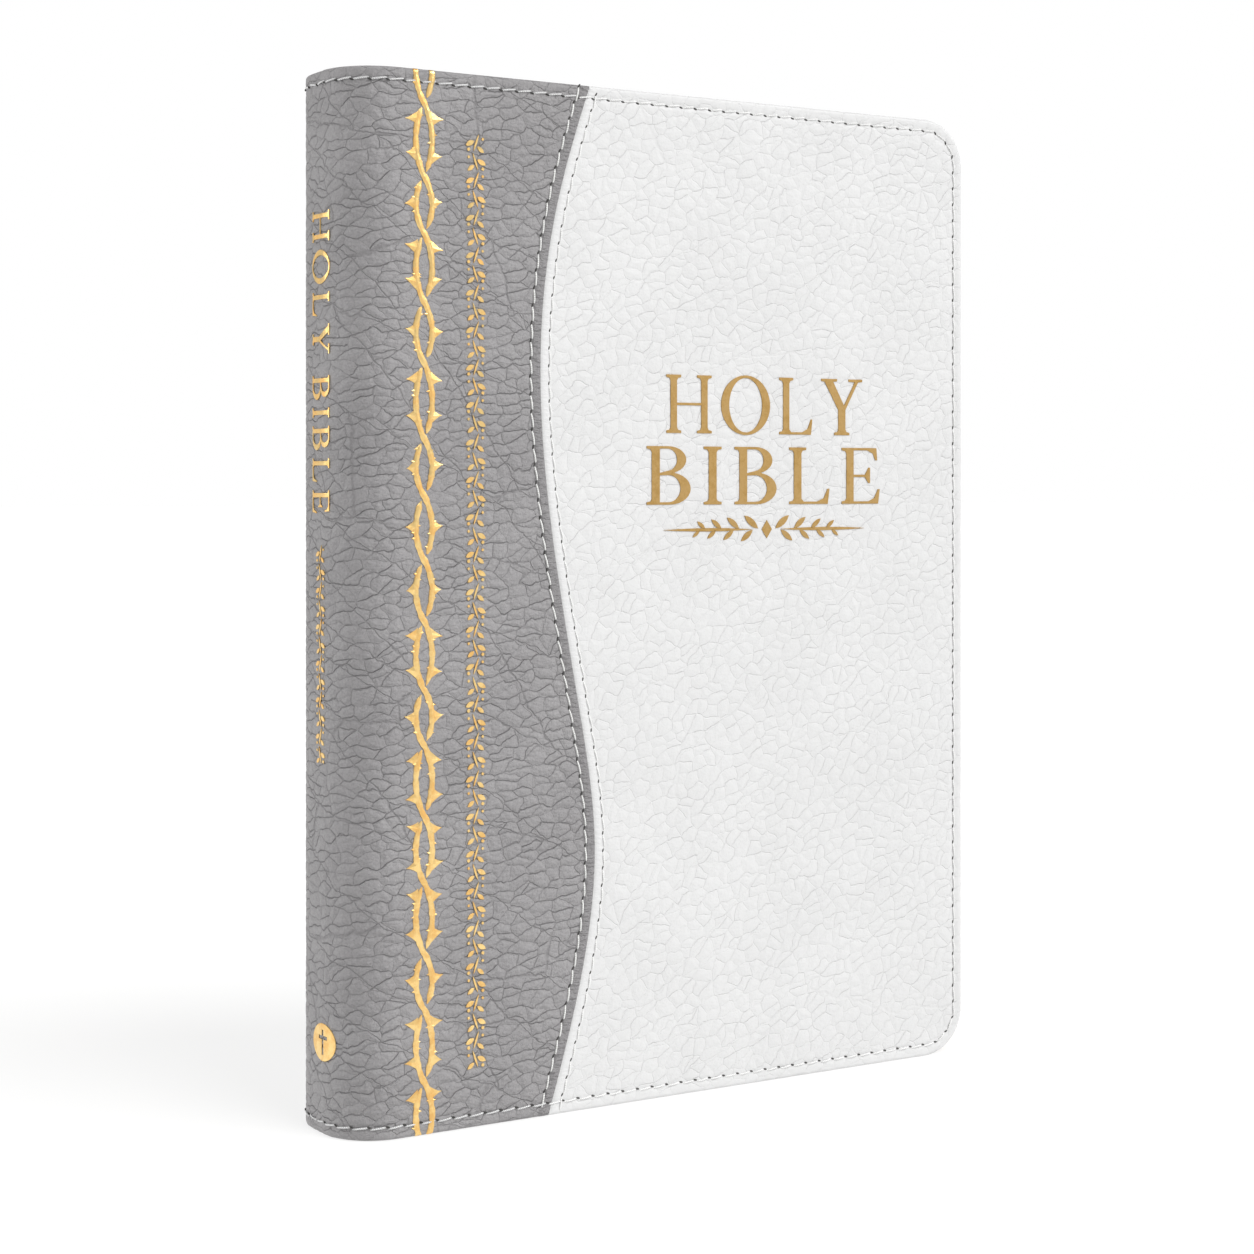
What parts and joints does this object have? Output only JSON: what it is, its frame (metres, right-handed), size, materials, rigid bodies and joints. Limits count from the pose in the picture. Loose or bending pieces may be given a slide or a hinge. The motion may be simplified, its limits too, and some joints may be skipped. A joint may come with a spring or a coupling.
{
  "type": "bible",
  "caption": "Upright bound bible with a rounded spine, hinged two-tone imitation leather covers with stitched edges, gold foil ornament and sewn page sections.",
  "frame": {"origin": "under the middle of the closed book, on the plane of its tail edge", "axes": "+Z from tail to head, +X from spine to fore-edge, -Y out of the front cover"},
  "size_m": [0.1492, 0.0274, 0.204],
  "materials": {
    "band_cloth": "woven head and tail band, white with a grey stripe",
    "binders_board": "grey flexible binder's board",
    "binding_cloth": "open weave cotton mull",
    "endpaper": "smooth off-white endpaper",
    "gold_foil": "hot stamped gold foil, satin",
    "grey_leather": "grey imitation leather with a pebbled grain",
    "grey_thread": "spun polyester sewing thread, light grey",
    "linen_thread": "waxed linen sewing thread",
    "lining_paper": "brown kraft spine lining",
    "page_paper": "thin bible paper with gilt edges",
    "white_leather": "white imitation leather with a pebbled grain",
    "white_thread": "spun polyester sewing thread, white"
  },
  "bodies": {
    "spine": {"spine_skin": "grey_leather", "spine_inlay": "binders_board", "spine_edge_stitches": "grey_thread", "spine_title_foil": "gold_foil", "spine_emblem_foil": "gold_foil", "sewing_threads": "linen_thread", "spine_mull": "binding_cloth", "spine_lining_paper": "lining_paper", "headband": "band_cloth", "tailband": "band_cloth"},
    "front_joint": {"front_joint_skin": "grey_leather", "front_hinge_cloth": "binding_cloth", "front_joint_stitches": "grey_thread"},
    "front_cover": {"front_board": "binders_board", "front_grey_panel": "grey_leather", "front_white_panel": "white_leather", "front_infill": "binders_board", "front_pastedown": "endpaper", "front_edge_stitches": "white_thread", "front_seam_stitches_grey": "grey_thread", "front_seam_stitches_white": "white_thread", "front_vine_foil": "gold_foil", "front_verse_ornament_foil": "gold_foil", "front_title_foil": "gold_foil"},
    "front_flyleaf": {"front_flyleaf": "endpaper"},
    "back_joint": {"back_joint_skin": "grey_leather", "back_hinge_cloth": "binding_cloth", "back_joint_stitches": "grey_thread"},
    "back_cover": {"back_board": "binders_board", "back_grey_panel": "grey_leather", "back_white_panel": "white_leather", "back_infill": "binders_board", "back_pastedown": "endpaper", "back_edge_stitches": "white_thread", "back_seam_stitches_grey": "grey_thread", "back_seam_stitches_white": "white_thread"},
    "back_flyleaf": {"back_flyleaf": "endpaper"},
    "page_section_01": {"page_section_01": "page_paper"},
    "page_section_02": {"page_section_02": "page_paper"},
    "page_section_03": {"page_section_03": "page_paper"},
    "page_section_04": {"page_section_04": "page_paper"},
    "page_section_05": {"page_section_05": "page_paper"},
    "page_section_06": {"page_section_06": "page_paper"},
    "page_section_07": {"page_section_07": "page_paper"},
    "page_section_08": {"page_section_08": "page_paper"},
    "page_section_09": {"page_section_09": "page_paper"},
    "page_section_10": {"page_section_10": "page_paper"},
    "page_section_11": {"page_section_11": "page_paper"},
    "page_section_12": {"page_section_12": "page_paper"},
    "page_section_13": {"page_section_13": "page_paper"},
    "page_section_14": {"page_section_14": "page_paper"},
    "page_section_15": {"page_section_15": "page_paper"},
    "page_section_16": {"page_section_16": "page_paper"}
  },
  "joints": [
    {"name": "front_joint_flex", "type": "hinge", "parent": "spine", "child": "front_joint", "pos_m": [-0.07115, -0.01028, 0.102], "axis": [0, 0, -1], "range_deg": [0, 50]},
    {"name": "front_cover_open", "type": "hinge", "parent": "front_joint", "child": "front_cover", "pos_m": [-0.06338, -0.0135, 0.102], "axis": [0, 0, -1], "range_deg": [0, 130]},
    {"name": "front_flyleaf_lift", "type": "hinge", "parent": "front_joint", "child": "front_flyleaf", "pos_m": [-0.06177, -0.01092, 0.102], "axis": [0, 0, -1], "range_deg": [0, 65]},
    {"name": "back_joint_flex", "type": "hinge", "parent": "spine", "child": "back_joint", "pos_m": [-0.07115, 0.01028, 0.102], "axis": [0, 0, 1], "range_deg": [0, 50]},
    {"name": "back_cover_open", "type": "hinge", "parent": "back_joint", "child": "back_cover", "pos_m": [-0.06338, 0.0135, 0.102], "axis": [0, 0, 1], "range_deg": [0, 130]},
    {"name": "back_flyleaf_lift", "type": "hinge", "parent": "back_joint", "child": "back_flyleaf", "pos_m": [-0.06177, 0.01092, 0.102], "axis": [0, 0, 1], "range_deg": [0, 65]},
    {"name": "page_turn_01", "type": "hinge", "parent": "spine", "child": "page_section_01", "pos_m": [-0.06793, -0.01009, 0.102], "axis": [0, 0, -1], "range_deg": [0, 45]},
    {"name": "page_turn_02", "type": "hinge", "parent": "spine", "child": "page_section_02", "pos_m": [-0.06837, -0.00874, 0.102], "axis": [0, 0, -1], "range_deg": [0, 40]},
    {"name": "page_turn_03", "type": "hinge", "parent": "spine", "child": "page_section_03", "pos_m": [-0.06875, -0.0074, 0.102], "axis": [0, 0, -1], "range_deg": [0, 35]},
    {"name": "page_turn_04", "type": "hinge", "parent": "spine", "child": "page_section_04", "pos_m": [-0.06906, -0.00605, 0.102], "axis": [0, 0, -1], "range_deg": [0, 30]},
    {"name": "page_turn_05", "type": "hinge", "parent": "spine", "child": "page_section_05", "pos_m": [-0.0693, -0.00471, 0.102], "axis": [0, 0, -1], "range_deg": [0, 25]},
    {"name": "page_turn_06", "type": "hinge", "parent": "spine", "child": "page_section_06", "pos_m": [-0.06949, -0.00336, 0.102], "axis": [0, 0, -1], "range_deg": [0, 20]},
    {"name": "page_turn_07", "type": "hinge", "parent": "spine", "child": "page_section_07", "pos_m": [-0.06961, -0.00202, 0.102], "axis": [0, 0, -1], "range_deg": [0, 15]},
    {"name": "page_turn_08", "type": "hinge", "parent": "spine", "child": "page_section_08", "pos_m": [-0.06967, -0.00067, 0.102], "axis": [0, 0, -1], "range_deg": [0, 10]},
    {"name": "page_turn_09", "type": "hinge", "parent": "spine", "child": "page_section_09", "pos_m": [-0.06967, 0.00067, 0.102], "axis": [0, 0, 1], "range_deg": [0, 10]},
    {"name": "page_turn_10", "type": "hinge", "parent": "spine", "child": "page_section_10", "pos_m": [-0.06961, 0.00202, 0.102], "axis": [0, 0, 1], "range_deg": [0, 15]},
    {"name": "page_turn_11", "type": "hinge", "parent": "spine", "child": "page_section_11", "pos_m": [-0.06949, 0.00336, 0.102], "axis": [0, 0, 1], "range_deg": [0, 20]},
    {"name": "page_turn_12", "type": "hinge", "parent": "spine", "child": "page_section_12", "pos_m": [-0.0693, 0.00471, 0.102], "axis": [0, 0, 1], "range_deg": [0, 25]},
    {"name": "page_turn_13", "type": "hinge", "parent": "spine", "child": "page_section_13", "pos_m": [-0.06906, 0.00605, 0.102], "axis": [0, 0, 1], "range_deg": [0, 30]},
    {"name": "page_turn_14", "type": "hinge", "parent": "spine", "child": "page_section_14", "pos_m": [-0.06875, 0.0074, 0.102], "axis": [0, 0, 1], "range_deg": [0, 35]},
    {"name": "page_turn_15", "type": "hinge", "parent": "spine", "child": "page_section_15", "pos_m": [-0.06837, 0.00874, 0.102], "axis": [0, 0, 1], "range_deg": [0, 40]},
    {"name": "page_turn_16", "type": "hinge", "parent": "spine", "child": "page_section_16", "pos_m": [-0.06793, 0.01009, 0.102], "axis": [0, 0, 1], "range_deg": [0, 45]}
  ],
  "couplings": [
    {"joint": "front_flyleaf_lift", "follows": "front_cover_open", "ratio": 0.5},
    {"joint": "back_flyleaf_lift", "follows": "back_cover_open", "ratio": 0.5},
    {"joint": "page_turn_01", "follows": "front_joint_flex", "ratio": 0.9},
    {"joint": "page_turn_02", "follows": "front_joint_flex", "ratio": 0.8},
    {"joint": "page_turn_03", "follows": "front_joint_flex", "ratio": 0.7},
    {"joint": "page_turn_04", "follows": "front_joint_flex", "ratio": 0.6},
    {"joint": "page_turn_05", "follows": "front_joint_flex", "ratio": 0.5},
    {"joint": "page_turn_06", "follows": "front_joint_flex", "ratio": 0.4},
    {"joint": "page_turn_07", "follows": "front_joint_flex", "ratio": 0.3},
    {"joint": "page_turn_08", "follows": "front_joint_flex", "ratio": 0.2},
    {"joint": "page_turn_09", "follows": "back_joint_flex", "ratio": 0.2},
    {"joint": "page_turn_10", "follows": "back_joint_flex", "ratio": 0.3},
    {"joint": "page_turn_11", "follows": "back_joint_flex", "ratio": 0.4},
    {"joint": "page_turn_12", "follows": "back_joint_flex", "ratio": 0.5},
    {"joint": "page_turn_13", "follows": "back_joint_flex", "ratio": 0.6},
    {"joint": "page_turn_14", "follows": "back_joint_flex", "ratio": 0.7},
    {"joint": "page_turn_15", "follows": "back_joint_flex", "ratio": 0.8},
    {"joint": "page_turn_16", "follows": "back_joint_flex", "ratio": 0.9}
  ]
}
